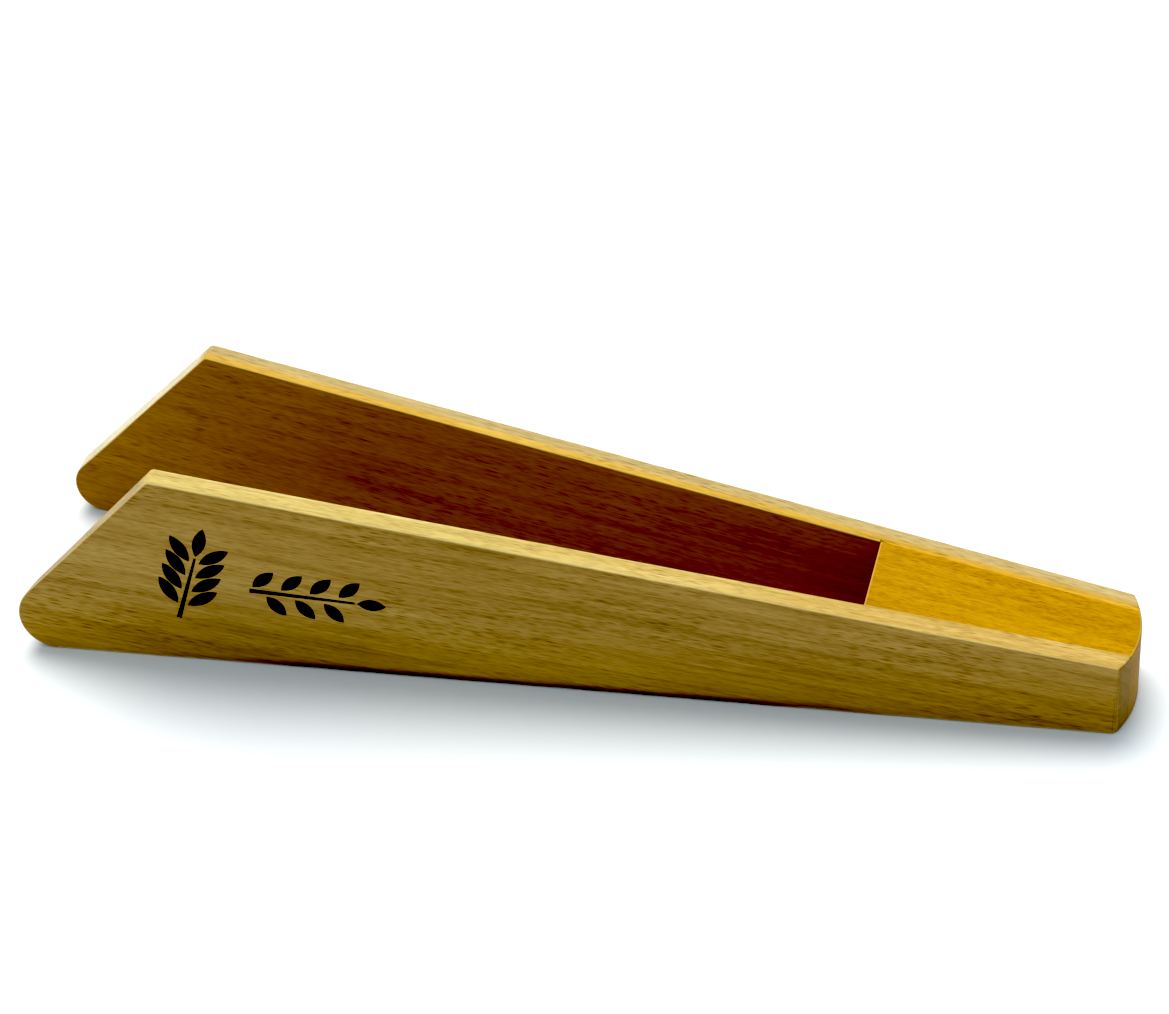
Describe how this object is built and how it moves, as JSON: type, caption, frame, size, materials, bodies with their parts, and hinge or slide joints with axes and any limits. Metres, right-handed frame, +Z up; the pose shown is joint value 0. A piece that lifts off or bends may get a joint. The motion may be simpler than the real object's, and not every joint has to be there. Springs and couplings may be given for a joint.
{
  "type": "toast tongs",
  "caption": "Wooden toast tongs: tapered springy arms with slanted tips, glued to a wedge-shaped spacer block, squeezed by hand to lift slices of toast.",
  "frame": {"origin": "midway along the length, on the middle plane between the arms, at the level of the lower edges that the tongs stand on", "axes": "+X from the tips towards the handle end, +Y across from the left arm to the right arm, +Z up"},
  "size_m": [0.1999, 0.0476, 0.0382],
  "materials": {
    "arm_beech": "sanded beech, lightly oiled, satin",
    "block_beech": "sanded beech, lightly oiled, satin, warmer in tone than the arms"
  },
  "bodies": {
    "handle": {"spacer_block": "block_beech", "left_arm_heel": "arm_beech", "right_arm_heel": "arm_beech"},
    "left_blade": {"left_arm_blade": "arm_beech"},
    "right_blade": {"right_arm_blade": "arm_beech"}
  },
  "joints": [
    {"name": "left_arm_flex", "type": "hinge", "parent": "handle", "child": "left_blade", "pos_m": [0.02175, -0.01379, 0.0125], "axis": [0, 0, -1], "range_deg": [-2.5, 8.9], "stiffness_Nm_per_rad": 34},
    {"name": "right_arm_flex", "type": "hinge", "parent": "handle", "child": "right_blade", "pos_m": [0.02175, 0.01379, 0.0125], "axis": [0, 0, 1], "range_deg": [-2.5, 8.9], "stiffness_Nm_per_rad": 34}
  ]
}
